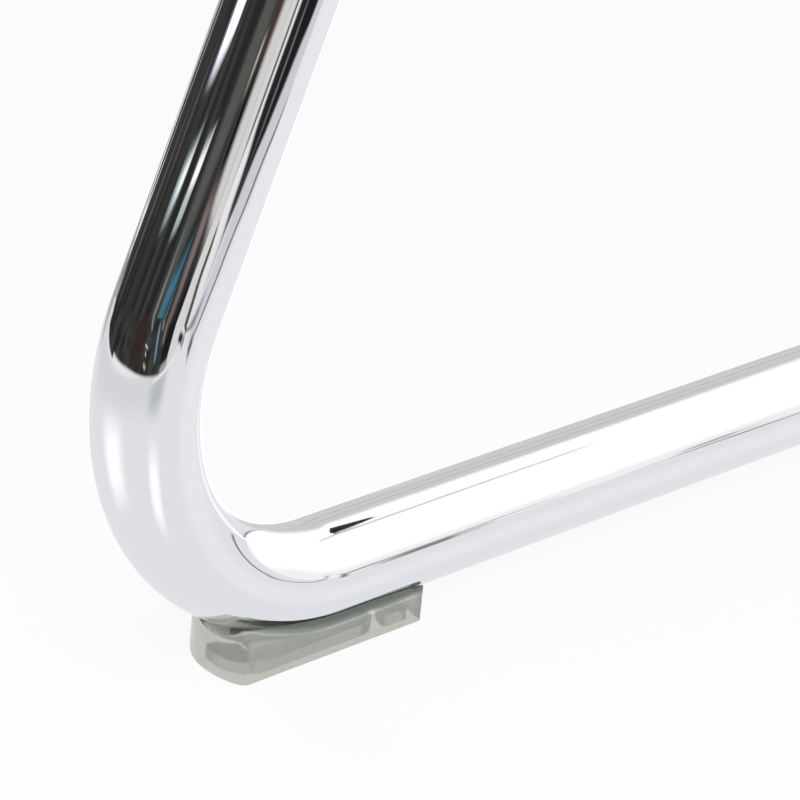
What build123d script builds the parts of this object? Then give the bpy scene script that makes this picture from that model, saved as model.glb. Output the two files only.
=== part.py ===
from build123d import *
import os
from math import asin, cos, degrees, radians, sin, sqrt, tan

# A cantilever visitor chair: a chromed tube runs along the floor, turns up at each front corner,
# leans back as an upright and ends as an arm. A second bent tube carries the seat and the back.
# Millimetres and degrees. X is the sitter's left, -Y the front, Z up, origin on the floor at mid chair.

# Overall sizes of the frame
overall_width = 550.0
overall_depth = 610.0
upright_lean = 21.7
arm_height = 640.0
floor_gap = 5.0

# Main tube and its bends, the bend radius being that of the tube's axis
tube_od = 25.0
tube_wall = 2.0
bend_radius = 58.0
weld_gap = 0.06

# Cross tubes that carry the seat and the back, placed from the nearest joint or bend
cross_od = 20.0
cross_wall = 1.5
front_cross_set = 45.0
rear_cross_set = 20.0
lower_cross_set = 68.0

# Seat: its place, its tilt, its plywood board and the crown of its cushion
seat_front_set = 32.0
rail_height = 380.0
seat_tilt = 3.0
seat_rear_set = 78.0
seat_width = 456.0
seat_board_thick = 12.0
seat_crown = 48.0
seat_front_roll = 30.0
seat_screw_inset = 78.0

# Back: its place, its lean, its plywood board and the crown of its cushion
back_inset = 60.0
back_lean = 12.0
back_centre_height = 682.0
back_width = 424.0
back_length = 368.0
back_board_thick = 10.0
back_crown = 38.0
back_bottom_roll = 6.0
back_screw_inset = 92.0
hoop_drop = 34.0

# Upholstered pads: board corners, sewn cover, foam and moulded tray
pad_corner = 48.0
side_draw_in = 3.0
cover_wall = 1.5
soft_gap = 0.3
hem_width = 14.0
side_bulge = 4.5
tray_wall = 3.0
tray_rim = 2.5
tray_lip = 2.0
tray_edge_round = 5.0
boss_od = 26.0
boss_height = 3.0

# Saddle spacers, screws and tee nuts that hold the pads
spacer_width = 34.0
spacer_length = 27.0
spacer_crown = 3.0
spacer_wrap = 5.0
saddle_gap = 0.15
screw_d = 6.0
screw_head_d = 12.0
screw_head_height = 4.0
screw_socket = 4.0
hole_play = 0.6
thread_play = 0.1
tee_flange_d = 19.0
tee_flange_thick = 1.5
tee_barrel_d = 8.0
tee_end_gap = 1.0

# Arm pads and their screws
arm_pad_width = 46.0
arm_pad_rise = 13.0
arm_pad_round = 9.0
arm_pad_front_set = 16.0
arm_pad_rear_set = 14.0
arm_screw_inset = 42.0
arm_screw_d = 5.0
arm_screw_head_d = 9.0
arm_screw_head_height = 3.0
arm_screw_socket = 3.0
arm_screw_bite = 8.0

# Clear glides under the runners, lengths taken from where the front bend starts, widths from the tube's axis
glide_outer = 10.6
glide_inner = 13.5
glide_ahead = 32.6
glide_behind = 27.0
glide_outer_shoulder = 2.0
glide_inner_shoulder = 6.5
glide_rim_rise = 4.1
glide_rim_slope = 4.9
glide_saddle_radius = 86.0
glide_nose_round = 3.0
glide_tail_round = 0.8
peg_d = 8.0
peg_play = 0.2
peg_reach = 5.0
peg_tip = 1.0
peg_places = (5.0, 21.0)
core_width = 11.0
core_length = 39.0
core_centre = -6.0
core_web = 2.0
core_round = 5.4
core_rib = 3.0
tail_core_length = 8.0
tail_core_round = 2.0
rear_glide_set = 4.0

# Places that follow from the sizes above
SIDES = (("left", 1), ("right", -1))
BENEATH = (Align.CENTER, Align.CENTER, Align.MAX)
ABOVE = (Align.CENTER, Align.CENTER, Align.MIN)
lean = radians(upright_lean)
tube_r = tube_od / 2
cross_r = cross_od / 2
side_x = (overall_width - tube_od) / 2
front_y = -overall_depth / 2
rear_y = overall_depth / 2
run_z = floor_gap + tube_r
rear_bar_y = rear_y - tube_r
bend_y = front_y + tube_r + bend_radius
bend_z = run_z + bend_radius
upright_y = bend_y - bend_radius * cos(lean)
upright_z = bend_z + bend_radius * sin(lean)
arm_corner_y = upright_y + (arm_height - upright_z) * tan(lean)
arm_start_y = arm_corner_y + bend_radius * tan((radians(90) - lean) / 2)
back_y = rear_y - back_inset
seat_length = (back_y - seat_rear_set) - (front_y + seat_front_set)
seat_y = front_y + seat_front_set + seat_length / 2
rail_fall = tan(radians(seat_tilt))
back_slope = tan(radians(back_lean))
back_centre_y = back_y + (back_centre_height - arm_height) * back_slope


def rail_meets(y, z, slope):
    """Where the seat rail's axis crosses a leaning tube that passes (y, z) with that slope."""
    high = (rail_height - (y - z * slope - seat_y) * rail_fall) / (1 + slope * rail_fall)
    return y + (high - z) * slope, high


joint_y, joint_z = rail_meets(upright_y, upright_z, tan(lean))
corner_y, corner_z = rail_meets(back_y, arm_height, back_slope)

# The seat's plane holds the rails' axes and the back's plane the back posts' axes
seat_plane = Plane(
    origin=(0, seat_y, rail_height),
    x_dir=(1, 0, 0),
    z_dir=(0, sin(radians(seat_tilt)), cos(radians(seat_tilt))),
)
back_plane = Plane(
    origin=(0, back_centre_y, back_centre_height),
    x_dir=(1, 0, 0),
    z_dir=(0, -cos(radians(back_lean)), sin(radians(back_lean))),
)
upright_axis = Plane(origin=(0, joint_y, joint_z), x_dir=(1, 0, 0), z_dir=(0, sin(lean), cos(lean)))
post_axis = Plane(origin=(0, back_y, arm_height), x_dir=(1, 0, 0), z_dir=back_plane.y_dir)

# Cross tubes and pad screws, in the seat's and the back's own planes
rail_turn = radians(90 - back_lean + seat_tilt)
front_cross_at = (joint_y - seat_y) / cos(radians(seat_tilt)) + front_cross_set
rear_bend_at = (corner_y - seat_y) / cos(radians(seat_tilt)) - bend_radius * tan(rail_turn / 2)
rear_cross_at = rear_bend_at - rear_cross_set
arm_at = (arm_height - back_centre_height) / cos(radians(back_lean))
lower_cross_at = arm_at - lower_cross_set
hoop_top_at = back_length / 2 - hoop_drop
hoop_top = back_plane.from_local_coords((0, hoop_top_at, 0))
seat_screw_x = seat_width / 2 - seat_screw_inset
back_screw_x = back_width / 2 - back_screw_inset
seat_fixings = [(s * seat_screw_x, at, cross_r) for _, s in SIDES for at in (front_cross_at, rear_cross_at)]
lower_fixings = [(s * back_screw_x, lower_cross_at, cross_r) for _, s in SIDES]
hoop_fixings = [(s * back_screw_x, hoop_top_at, tube_r) for _, s in SIDES]
back_fixings = lower_fixings + hoop_fixings

# Each pad's own plane is the outside of its tray, so many millimetres off the tubes' axes
seat_rise = cross_r + spacer_crown
back_rise = tube_r + spacer_crown
seat_pad = seat_plane.offset(seat_rise)
back_pad = back_plane.offset(back_rise)
board_level = tray_wall + boss_height
pieces = {}


def ring(line, outer, wall):
    """A tube's section at the start of its path."""
    with BuildSketch(Plane(origin=line @ 0, z_dir=line % 0)) as section:
        Circle(outer / 2)
        Circle(outer / 2 - wall, mode=Mode.SUBTRACT)
    return section.sketch


# Floor loop: both runners and the rear bar bent from one tube, with holes for the glides' pegs
front_peg_ys = [bend_y + at for at in peg_places]
rear_glide_y = rear_bar_y - bend_radius - rear_glide_set - glide_ahead
rear_peg_ys = [rear_glide_y - at for at in peg_places]
with BuildPart() as floor_loop:
    with BuildLine() as floor_path:
        FilletPolyline(
            (side_x, bend_y, run_z),
            (side_x, rear_bar_y, run_z),
            (-side_x, rear_bar_y, run_z),
            (-side_x, bend_y, run_z),
            radius=bend_radius,
        )
    sweep(sections=ring(floor_path.line, tube_od, tube_wall), path=floor_path.line)
    with Locations(*[(s * side_x, y, run_z) for _, s in SIDES for y in front_peg_ys + rear_peg_ys]):
        Cylinder(peg_d / 2, tube_od, align=BENEATH, mode=Mode.SUBTRACT)
pieces["floor_loop"] = floor_loop.part

# Front bends: the springy corners between the runners and the uprights
for name, side in SIDES:
    with BuildPart() as front_bend:
        with BuildLine(Plane.YZ.offset(side * side_x)) as bend_path:
            CenterArc((bend_y, bend_z), bend_radius, -90, -(90 + upright_lean))
        sweep(sections=ring(bend_path.line, tube_od, tube_wall), path=bend_path.line)
    pieces[f"{name}_front_bend"] = front_bend.part


def make_glide(x, start_y, facing, curved):
    """A clear moulded block under a runner: a round nose, swept back on the inner side, a saddle on top, two pegs,
    cored underneath. Facing is the way its nose points along Y. A curved saddle lifts a little with the bend."""
    out = 1 if x > 0 else -1
    outer_x = x + out * glide_outer
    inner_x = x - out * glide_inner
    tail_y = start_y - facing * glide_behind
    nose_y = start_y + facing * glide_ahead
    outer_y = nose_y - facing * glide_outer_shoulder
    inner_y = nose_y - facing * glide_inner_shoulder
    tail_rim = floor_gap + glide_rim_rise
    nose_rim = tail_rim
    if curved:
        nose_rim += (glide_ahead + glide_behind) * tan(radians(glide_rim_slope))
    groove_r = tube_r + saddle_gap
    tail_core_centre = core_centre + core_length / 2 + core_rib + tail_core_length / 2
    with BuildPart() as glide:
        with BuildSketch():
            with BuildLine():
                Polyline((inner_x, inner_y), (inner_x, tail_y), (outer_x, tail_y), (outer_x, outer_y))
                ThreePointArc((outer_x, outer_y), (x, nose_y), (inner_x, inner_y))
            make_face()
        extrude(amount=run_z)
        corners = glide.edges().filter_by(Axis.Z).sort_by_distance((x, nose_y, run_z / 2))
        fillet(corners[:2], glide_nose_round)
        corners = glide.edges().filter_by(Axis.Z).sort_by_distance((x, nose_y, run_z / 2))
        fillet(corners[-2:], glide_tail_round)
        with BuildSketch(Plane.YZ.offset(x)):
            with BuildLine():
                Polyline((tail_y, tail_rim), (tail_y, 0), (nose_y, 0), (nose_y, nose_rim), close=True)
            make_face()
        extrude(amount=glide_inner + glide_outer, both=True, mode=Mode.INTERSECT)
        with BuildLine(Plane.YZ.offset(x)) as groove:
            Line((tail_y - facing * tube_r, run_z), (start_y, run_z))
            if curved:
                swing = degrees(asin((glide_ahead + tube_r) / glide_saddle_radius))
                CenterArc((start_y, run_z + glide_saddle_radius), glide_saddle_radius, -90, facing * swing)
            else:
                Line((start_y, run_z), (nose_y + facing * tube_r, run_z))
        with BuildSketch(Plane(origin=groove.line @ 0, z_dir=groove.line % 0)) as bore:
            Circle(groove_r)
        sweep(sections=bore.sketch, path=groove.line, mode=Mode.SUBTRACT)
        with BuildSketch():
            with Locations((x, start_y - facing * core_centre)):
                RectangleRounded(core_width, core_length, core_round)
            with Locations((x, start_y - facing * tail_core_centre)):
                RectangleRounded(core_width, tail_core_length, tail_core_round)
        extrude(amount=floor_gap - core_web, mode=Mode.SUBTRACT)
        for at in peg_places:
            with BuildSketch(Plane.XY.offset(floor_gap - core_web / 2)):
                with Locations((x, start_y - facing * at)):
                    Circle((peg_d - peg_play) / 2)
            extrude(amount=core_web / 2 + tube_wall + peg_reach)
        tips = glide.faces().filter_by(Axis.Z).sort_by(Axis.Z)[-len(peg_places):]
        chamfer(tips.edges(), peg_tip)
    return glide.part


for name, side in SIDES:
    pieces[f"{name}_front_glide"] = make_glide(side * side_x, bend_y, -1, True)
    pieces[f"{name}_rear_glide"] = make_glide(side * side_x, rear_glide_y, 1, False)

# Uprights that turn back as arms; each arm's end is coped to its back post
arm_pad_front_y = arm_start_y + arm_pad_front_set
arm_pad_rear_y = back_y - tube_r - arm_pad_rear_set
arm_screw_ys = (arm_pad_front_y + arm_screw_inset, arm_pad_rear_y - arm_screw_inset)
for name, side in SIDES:
    x = side * side_x
    with BuildPart() as upright_arm:
        with BuildLine() as upright_path:
            FilletPolyline(
                (x, upright_y, upright_z),
                (x, arm_corner_y, arm_height),
                (x, back_y, arm_height),
                radius=bend_radius,
            )
        sweep(sections=ring(upright_path.line, tube_od, tube_wall), path=upright_path.line)
        with Locations(post_axis.location):
            with Locations((x, 0, 0)):
                Cylinder(tube_r + weld_gap, 4 * tube_od, mode=Mode.SUBTRACT)
        with Locations(*[(x, y, arm_height) for y in arm_screw_ys]):
            Cylinder((arm_screw_d + hole_play) / 2, 2 * tube_od, mode=Mode.SUBTRACT)
    pieces[f"{name}_upright_arm"] = upright_arm.part

# Arm pads: moulded grips with a groove that sits over the arm tube
for name, side in SIDES:
    x = side * side_x
    with BuildPart() as arm_pad:
        with BuildSketch(Plane.XY.offset(arm_height)):
            with Locations((x, (arm_pad_front_y + arm_pad_rear_y) / 2)):
                RectangleRounded(arm_pad_width, arm_pad_rear_y - arm_pad_front_y, 0.45 * arm_pad_width)
        extrude(amount=tube_r + arm_pad_rise)
        fillet(arm_pad.faces().sort_by(Axis.Z)[-1].edges(), arm_pad_round)
        with Locations((x, (arm_pad_front_y + arm_pad_rear_y) / 2, arm_height)):
            Cylinder(tube_r + saddle_gap, overall_depth, rotation=(90, 0, 0), mode=Mode.SUBTRACT)
        with Locations(*[(x, y, arm_height) for y in arm_screw_ys]):
            Cylinder(
                (arm_screw_d + thread_play) / 2,
                tube_r + arm_screw_bite + thread_play,
                align=ABOVE,
                mode=Mode.SUBTRACT,
            )
    pieces[f"{name}_arm_pad"] = arm_pad.part


def add_screws(points, diameter, length, head_d, head_height, socket):
    """Socket screws whose heads bear at the given points and whose shanks point up from there."""
    with Locations(*points):
        Cylinder(diameter / 2, length, align=ABOVE)
        Cylinder(head_d / 2, head_height, align=BENEATH)
        with Locations((0, 0, -head_height)):
            Cylinder(socket / 2, head_height * 0.55, align=ABOVE, mode=Mode.SUBTRACT)


with BuildPart() as arm_pad_screws:
    add_screws(
        [(s * side_x, y, arm_height - tube_r) for _, s in SIDES for y in arm_screw_ys],
        arm_screw_d,
        tube_od + arm_screw_bite,
        arm_screw_head_d,
        arm_screw_head_height,
        arm_screw_socket,
    )
pieces["arm_pad_screws"] = arm_pad_screws.part

# Back hoop: seat rails, back posts and top bar in one tube, its front ends coped to the uprights
with BuildPart() as back_hoop:
    with BuildLine() as hoop_path:
        FilletPolyline(
            (side_x, joint_y, joint_z),
            (side_x, corner_y, corner_z),
            (side_x, hoop_top.Y, hoop_top.Z),
            (-side_x, hoop_top.Y, hoop_top.Z),
            (-side_x, corner_y, corner_z),
            (-side_x, joint_y, joint_z),
            radius=bend_radius,
        )
    sweep(sections=ring(hoop_path.line, tube_od, tube_wall), path=hoop_path.line)
    with Locations(upright_axis.location):
        with Locations((side_x, 0, 0), (-side_x, 0, 0)):
            Cylinder(tube_r + weld_gap, 4 * tube_od, mode=Mode.SUBTRACT)
    with Locations(back_plane.location):
        with Locations(*[(px, at, 0) for px, at, _ in hoop_fixings]):
            Cylinder((screw_d + hole_play) / 2, 2 * tube_od, mode=Mode.SUBTRACT)
pieces["back_hoop"] = back_hoop.part


def make_cross_tube(plane, at, screw_x):
    """A straight tube across the chair, coped to the two side tubes and drilled for the pad's screws."""
    with BuildPart(plane) as tube:
        with Locations((0, at, 0)):
            Cylinder(cross_r, 2 * side_x, rotation=(0, 90, 0))
            Cylinder(cross_r - cross_wall, 2 * side_x, rotation=(0, 90, 0), mode=Mode.SUBTRACT)
        with Locations((side_x, at, 0), (-side_x, at, 0)):
            Cylinder(tube_r + weld_gap, 4 * tube_od, rotation=(90, 0, 0), mode=Mode.SUBTRACT)
        with Locations((screw_x, at, 0), (-screw_x, at, 0)):
            Cylinder((screw_d + hole_play) / 2, 2 * cross_od, mode=Mode.SUBTRACT)
    return tube.part


pieces["seat_front_cross_tube"] = make_cross_tube(seat_plane, front_cross_at, seat_screw_x)
pieces["seat_rear_cross_tube"] = make_cross_tube(seat_plane, rear_cross_at, seat_screw_x)
pieces["back_lower_cross_tube"] = make_cross_tube(back_plane, lower_cross_at, back_screw_x)


def outline(plane, level, width, length, grow, front=0.0):
    """The pad's outline at a level: a rounded rectangle with its sides drawn in between the corners,
    grown all round and, by a further amount, at its front end."""
    corner = pad_corner + grow
    half = width / 2 + grow
    fore = -length / 2 - grow - front
    aft = length / 2 + grow
    mid = (fore + aft) / 2
    cut = corner * (1 - sqrt(0.5))
    near = half - corner
    dip = side_draw_in
    with BuildSketch(plane.offset(level)) as shape:
        with BuildLine():
            ThreePointArc((-near, fore), (0, fore + dip), (near, fore))
            ThreePointArc((near, fore), (half - cut, fore + cut), (half, fore + corner))
            ThreePointArc((half, fore + corner), (half - dip, mid), (half, aft - corner))
            ThreePointArc((half, aft - corner), (half - cut, aft - cut), (near, aft))
            ThreePointArc((near, aft), (0, aft - dip), (-near, aft))
            ThreePointArc((-near, aft), (cut - half, aft - cut), (-half, aft - corner))
            ThreePointArc((-half, aft - corner), (dip - half, mid), (-half, fore + corner))
            ThreePointArc((-half, fore + corner), (cut - half, fore + cut), (-near, fore))
        make_face()
    return shape.sketch


def cushion_sections(plane, width, length, base, crown, roll, inset):
    """Outlines of a cushion from beside the board to its crown: bulged sides, then drawn in to the top.
    Inset takes the whole form in, so that cover, lining and foam nest."""
    wrap = soft_gap + cover_wall - inset
    rise = crown - inset
    steps = (
        (0.00, wrap, 0.0),
        (0.34, side_bulge - inset, 0.0),
        (0.66, side_bulge - inset - 0.06 * crown, -0.1 * roll),
        (0.88, -0.32 * pad_corner - inset, -0.45 * roll),
        (0.97, -0.72 * pad_corner - inset, -0.9 * roll),
        (1.00, -0.90 * pad_corner - inset, -1.1 * roll),
    )
    return [outline(plane, base + part * rise, width, length, grow, front) for part, grow, front in steps]


def make_tray(plane, width, length, thick, fixings):
    """A moulded tray that closes the pad from outside and holds the board on four bosses."""
    inner = 2 * soft_gap + cover_wall
    rim_level = board_level + thick + tray_lip
    with BuildPart(plane) as tray:
        extrude(outline(plane, 0, width, length, inner + tray_rim), amount=rim_level)
        outside = tray.faces().sort_by(Axis(plane.origin, plane.z_dir))[0]
        fillet(outside.edges(), tray_edge_round)
        pocket = outline(plane, tray_wall, width, length, inner)
        extrude(pocket, amount=rim_level, mode=Mode.SUBTRACT)
        with Locations(*[(px, py, tray_wall) for px, py, _ in fixings]):
            Cylinder(boss_od / 2, boss_height, align=ABOVE)
        with Locations(*[(px, py, 0) for px, py, _ in fixings]):
            Cylinder((screw_d + hole_play) / 2, 4 * board_level, mode=Mode.SUBTRACT)
    return tray.part


def make_board(plane, width, length, thick, fixings):
    """A plywood board, bored for the tee nuts' barrels and let in for their flanges."""
    with BuildPart(plane) as board:
        extrude(outline(plane, board_level, width, length, 0), amount=thick)
        with Locations(*[(px, py, board_level + thick) for px, py, _ in fixings]):
            Cylinder((tee_barrel_d + thread_play) / 2, 4 * thick, mode=Mode.SUBTRACT)
            Cylinder((tee_flange_d + hole_play) / 2, tee_flange_thick, align=BENEATH, mode=Mode.SUBTRACT)
    return board.part


def make_tee_nuts(plane, thick, fixings):
    """Pressed tee nuts, their flanges flush with the board's foam side."""
    with BuildPart(plane) as nuts:
        with Locations(*[(px, py, board_level + thick) for px, py, _ in fixings]):
            Cylinder(tee_flange_d / 2, tee_flange_thick, align=BENEATH)
            Cylinder(tee_barrel_d / 2, thick - tee_end_gap, align=BENEATH)
            Cylinder((screw_d + thread_play) / 2, 4 * thick, mode=Mode.SUBTRACT)
    return nuts.part


def make_spacers(plane, rise, fixings):
    """Plastic blocks with a saddle on the tube and a flat face against the tray."""
    with BuildPart(plane) as spacers:
        for px, py, radius in fixings:
            with Locations((px, py, 0)):
                Box(spacer_width, spacer_length, rise - radius + spacer_wrap, align=BENEATH)
                Cylinder((screw_d + hole_play) / 2, 4 * rise, mode=Mode.SUBTRACT)
            with Locations((px, py, -rise)):
                Cylinder(
                    radius + saddle_gap, 2 * spacer_width, rotation=(0, 90, 0), mode=Mode.SUBTRACT
                )
    return spacers.part


def make_screws(plane, rise, thick, fixings):
    """Socket screws from behind the tube, through spacer and tray, into the tee nuts."""
    with BuildPart(plane) as screws:
        for px, py, radius in fixings:
            length = rise + radius + board_level + thick - tee_end_gap
            point = [(px, py, -rise - radius)]
            add_screws(point, screw_d, length, screw_head_d, screw_head_height, screw_socket)
    return screws.part


def make_foam(plane, width, length, thick, crown, roll):
    """Moulded foam glued to the board."""
    base = board_level + thick + tray_lip
    with BuildPart(plane) as foam:
        extrude(outline(plane, board_level + thick, width, length, 0), amount=tray_lip)
        loft(cushion_sections(plane, width, length, base, crown, roll, cover_wall + soft_gap))
    return foam.part


def make_cover(plane, width, length, thick, crown, roll):
    """A sewn cover drawn over foam and board, its hem stapled behind the board."""
    base = board_level + thick + tray_lip
    hem_level = board_level - soft_gap - cover_wall
    with BuildPart(plane) as cover:
        skin = outline(plane, hem_level, width, length, soft_gap + cover_wall)
        extrude(skin, amount=base - hem_level)
        loft(cushion_sections(plane, width, length, base, crown, roll, 0))
        lining = outline(plane, board_level - soft_gap, width, length, soft_gap)
        extrude(lining, amount=base - board_level + soft_gap, mode=Mode.SUBTRACT)
        loft(
            cushion_sections(plane, width, length, base, crown, roll, cover_wall),
            mode=Mode.SUBTRACT,
        )
        mouth = outline(plane, hem_level, width, length, -hem_width)
        extrude(mouth, amount=board_level - hem_level, mode=Mode.SUBTRACT)
    return cover.part


PADS = (
    (
        "seat",
        (seat_pad, seat_rise, seat_width, seat_length, seat_board_thick),
        (seat_crown, seat_front_roll),
        seat_fixings,
    ),
    (
        "back",
        (back_pad, back_rise, back_width, back_length, back_board_thick),
        (back_crown, back_bottom_roll),
        back_fixings,
    ),
)
TRAY_NAMES = {"seat": "seat_pan", "back": "back_shell"}
for name, (plane, rise, width, length, thick), (crown, roll), fixings in PADS:
    pieces[f"{name}_spacers"] = make_spacers(plane, rise, fixings)
    pieces[TRAY_NAMES[name]] = make_tray(plane, width, length, thick, fixings)
    pieces[f"{name}_board"] = make_board(plane, width, length, thick, fixings)
    pieces[f"{name}_tee_nuts"] = make_tee_nuts(plane, thick, fixings)
    pieces[f"{name}_screws"] = make_screws(plane, rise, thick, fixings)
    pieces[f"{name}_foam"] = make_foam(plane, width, length, thick, crown, roll)
    pieces[f"{name}_cover"] = make_cover(plane, width, length, thick, crown, roll)

os.makedirs("parts", exist_ok=True)
for name, piece in pieces.items():
    piece.label = name
    export_step(piece, f"parts/{name}.step")
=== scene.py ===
import math

import bmesh
import bpy
from mathutils import Matrix, Vector


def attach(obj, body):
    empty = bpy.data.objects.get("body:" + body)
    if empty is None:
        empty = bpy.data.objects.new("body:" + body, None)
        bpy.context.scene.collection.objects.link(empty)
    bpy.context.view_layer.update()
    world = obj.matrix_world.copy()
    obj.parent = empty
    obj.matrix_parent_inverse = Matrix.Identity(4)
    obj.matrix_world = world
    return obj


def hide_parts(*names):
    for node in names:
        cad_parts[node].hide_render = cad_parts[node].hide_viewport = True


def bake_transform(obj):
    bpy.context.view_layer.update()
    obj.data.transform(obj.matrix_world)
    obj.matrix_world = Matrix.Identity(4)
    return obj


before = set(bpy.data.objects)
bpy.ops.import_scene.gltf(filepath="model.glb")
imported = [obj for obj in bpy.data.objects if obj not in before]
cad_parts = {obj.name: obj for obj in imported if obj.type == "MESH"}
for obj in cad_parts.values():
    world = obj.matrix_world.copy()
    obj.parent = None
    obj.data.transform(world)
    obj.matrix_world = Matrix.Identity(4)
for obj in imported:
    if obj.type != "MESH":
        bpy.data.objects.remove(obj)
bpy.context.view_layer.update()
scene = bpy.context.scene

# Main tube: floor loop, springy front bends, uprights and arms in one length of 25 mm round steel tube.
# It is cold bent to a 58 mm radius, polished and chrome plated, and its ends are welded to the back posts.
TUBE_R = 0.0125
BEND_R = 0.058
SIDE_X = 0.2625
RUN_Z = 0.0175
FRONT_BEND = Vector((0, -0.2345, RUN_Z + BEND_R))
LEAN = math.radians(21.7)
UPRIGHT = Vector((0, math.sin(LEAN), math.cos(LEAN)))
BEND_END = FRONT_BEND + BEND_R * Vector((0, -math.cos(LEAN), math.sin(LEAN)))
ARM_Z = 0.640
ARM_START_Y = BEND_END.y + (ARM_Z - BEND_END.z) * math.tan(LEAN) + BEND_R * math.tan(math.pi / 4 - LEAN / 2)
ARM_BEND = Vector((0, ARM_START_Y, ARM_Z - BEND_R))
ARM_BEND_END = ARM_BEND + BEND_R * Vector((0, -math.cos(LEAN), math.sin(LEAN)))
POST_Y = 0.245
ARM_STOP = 0.002
REAR_BEND_Y = 0.2345
X, Y, Z = Vector((1, 0, 0)), Vector((0, 1, 0)), Vector((0, 0, 1))


def open_ring(bm, centre, along, radius, segments=64):
    """A ring of edges round a point, square to the way the tube runs."""
    turn = along.to_track_quat("Z", "X").to_matrix().to_4x4()
    made = bmesh.ops.create_circle(
        bm, cap_ends=False, radius=radius, segments=segments, matrix=Matrix.Translation(centre) @ turn
    )
    return list({edge for vert in made["verts"] for edge in vert.link_edges})


def straight(bm, ring, way, steps=1):
    """The tube's ring is drawn out along a straight run."""
    for _ in range(steps):
        geom = bmesh.ops.extrude_edge_only(bm, edges=ring)["geom"]
        verts = {g for g in geom if isinstance(g, bmesh.types.BMVert)}
        bmesh.ops.translate(bm, verts=list(verts), vec=way / steps)
        ring = [g for g in geom if isinstance(g, bmesh.types.BMEdge) and set(g.verts) <= verts]
    return ring


def bent(bm, ring, centre, axis, angle, steps=40):
    """The tube's ring is swung round a bend."""
    last = bmesh.ops.spin(
        bm, geom=ring, cent=centre, axis=axis, dvec=(0, 0, 0), angle=angle, steps=steps, use_merge=False,
        use_normal_flip=False, use_duplicate=False,
    )["geom_last"]
    return [g for g in last if isinstance(g, bmesh.types.BMEdge)]


def smooth_piece(name, bm):
    """A finished mesh becomes a smooth object, its faces turned outwards."""
    bmesh.ops.remove_doubles(bm, verts=bm.verts[:], dist=1e-6)
    bmesh.ops.recalc_face_normals(bm, faces=bm.faces[:])
    for face in bm.faces:
        face.smooth = True
    mesh = bpy.data.meshes.new(name)
    bm.to_mesh(mesh)
    bm.free()
    made = bpy.data.objects.new(name, mesh)
    scene.collection.objects.link(made)
    return made


def fitted(piece, finish, body="seat_carrier"):
    """A piece takes its finish alone in its one material slot and rides on its body."""
    piece.data.materials.clear()
    piece.data.materials.append(finish)
    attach(piece, body)


def side(point, sign):
    """A point of the middle plane moved out to one side tube."""
    return Vector((sign * SIDE_X, point.y, point.z))


bm = bmesh.new()
arm_end = Vector((SIDE_X, POST_Y - ARM_STOP, ARM_Z))
ring = open_ring(bm, arm_end, -Y, TUBE_R)
bmesh.ops.contextual_create(bm, geom=ring)
ring = straight(bm, ring, side(ARM_BEND + BEND_R * Z, 1) - arm_end)
ring = bent(bm, ring, side(ARM_BEND, 1), X, math.pi / 2 - LEAN)
ring = straight(bm, ring, BEND_END - ARM_BEND_END, 6)
ring = bent(bm, ring, side(FRONT_BEND, 1), X, math.pi / 2 + LEAN, 64)
ring = straight(bm, ring, (REAR_BEND_Y - FRONT_BEND.y) * Y, 6)
ring = bent(bm, ring, Vector((SIDE_X - BEND_R, REAR_BEND_Y, RUN_Z)), Z, math.pi / 2)
ring = straight(bm, ring, -2 * (SIDE_X - BEND_R) * X)
ring = bent(bm, ring, Vector((BEND_R - SIDE_X, REAR_BEND_Y, RUN_Z)), Z, math.pi / 2)
ring = straight(bm, ring, (FRONT_BEND.y - REAR_BEND_Y) * Y, 6)
ring = bent(bm, ring, side(FRONT_BEND, -1), X, -math.pi / 2 - LEAN, 64)
ring = straight(bm, ring, ARM_BEND_END - BEND_END, 6)
ring = bent(bm, ring, side(ARM_BEND, -1), X, LEAN - math.pi / 2)
ring = straight(bm, ring, (arm_end.y - ARM_START_Y) * Y)
bmesh.ops.contextual_create(bm, geom=ring)
main_tube = smooth_piece("main_tube", bm)


def linear(code):
    """An sRGB hex colour as linear red, green, blue and alpha."""
    parts = [int(code[i:i + 2], 16) / 255 for i in (1, 3, 5)]
    return [c / 12.92 if c <= 0.04045 else ((c + 0.055) / 1.055) ** 2.4 for c in parts] + [1.0]


def node(tree, kind, settings=(), sockets=()):
    """Adds a node; a socket's value is a number, a colour or another node's output."""
    made = tree.nodes.new(kind)
    for name, value in dict(settings).items():
        setattr(made, name, value)
    for name, value in dict(sockets).items():
        if isinstance(value, bpy.types.NodeSocket):
            tree.links.new(value, made.inputs[name])
        else:
            made.inputs[name].default_value = value
    return made


def bare_material(name):
    """A material with an empty tree and its output."""
    made = bpy.data.materials.new(name)
    made.use_nodes = True
    made.node_tree.nodes.clear()
    return made, made.node_tree, made.node_tree.nodes.new("ShaderNodeOutputMaterial")


# Chrome plate on polished steel: a mirror with a faint cool cast. Plating over polished tube keeps a
# trace of the belt's waviness, so reflections wander a little along the tube.
chrome, tree, out = bare_material("chrome_plate")
place = node(tree, "ShaderNodeTexCoord").outputs["Object"]
waviness = node(
    tree, "ShaderNodeTexNoise", sockets={"Vector": place, "Scale": 38.0, "Detail": 1.0}
).outputs["Fac"]
ripple = node(
    tree, "ShaderNodeBump", sockets={"Strength": 0.12, "Distance": 0.0006, "Height": waviness}
).outputs["Normal"]
haze = node(
    tree, "ShaderNodeTexNoise", sockets={"Vector": place, "Scale": 160.0, "Detail": 4.0}
).outputs["Fac"]
polish = node(
    tree, "ShaderNodeMapRange", sockets={"Value": haze, "To Min": 0.012, "To Max": 0.034}
).outputs["Result"]
shader = node(
    tree, "ShaderNodeBsdfPrincipled",
    sockets={"Base Color": linear("#F0F1F3"), "Metallic": 1.0, "Roughness": polish, "Normal": ripple},
)
tree.links.new(shader.outputs["BSDF"], out.inputs["Surface"])
main_tube.data.materials.append(chrome)
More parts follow.
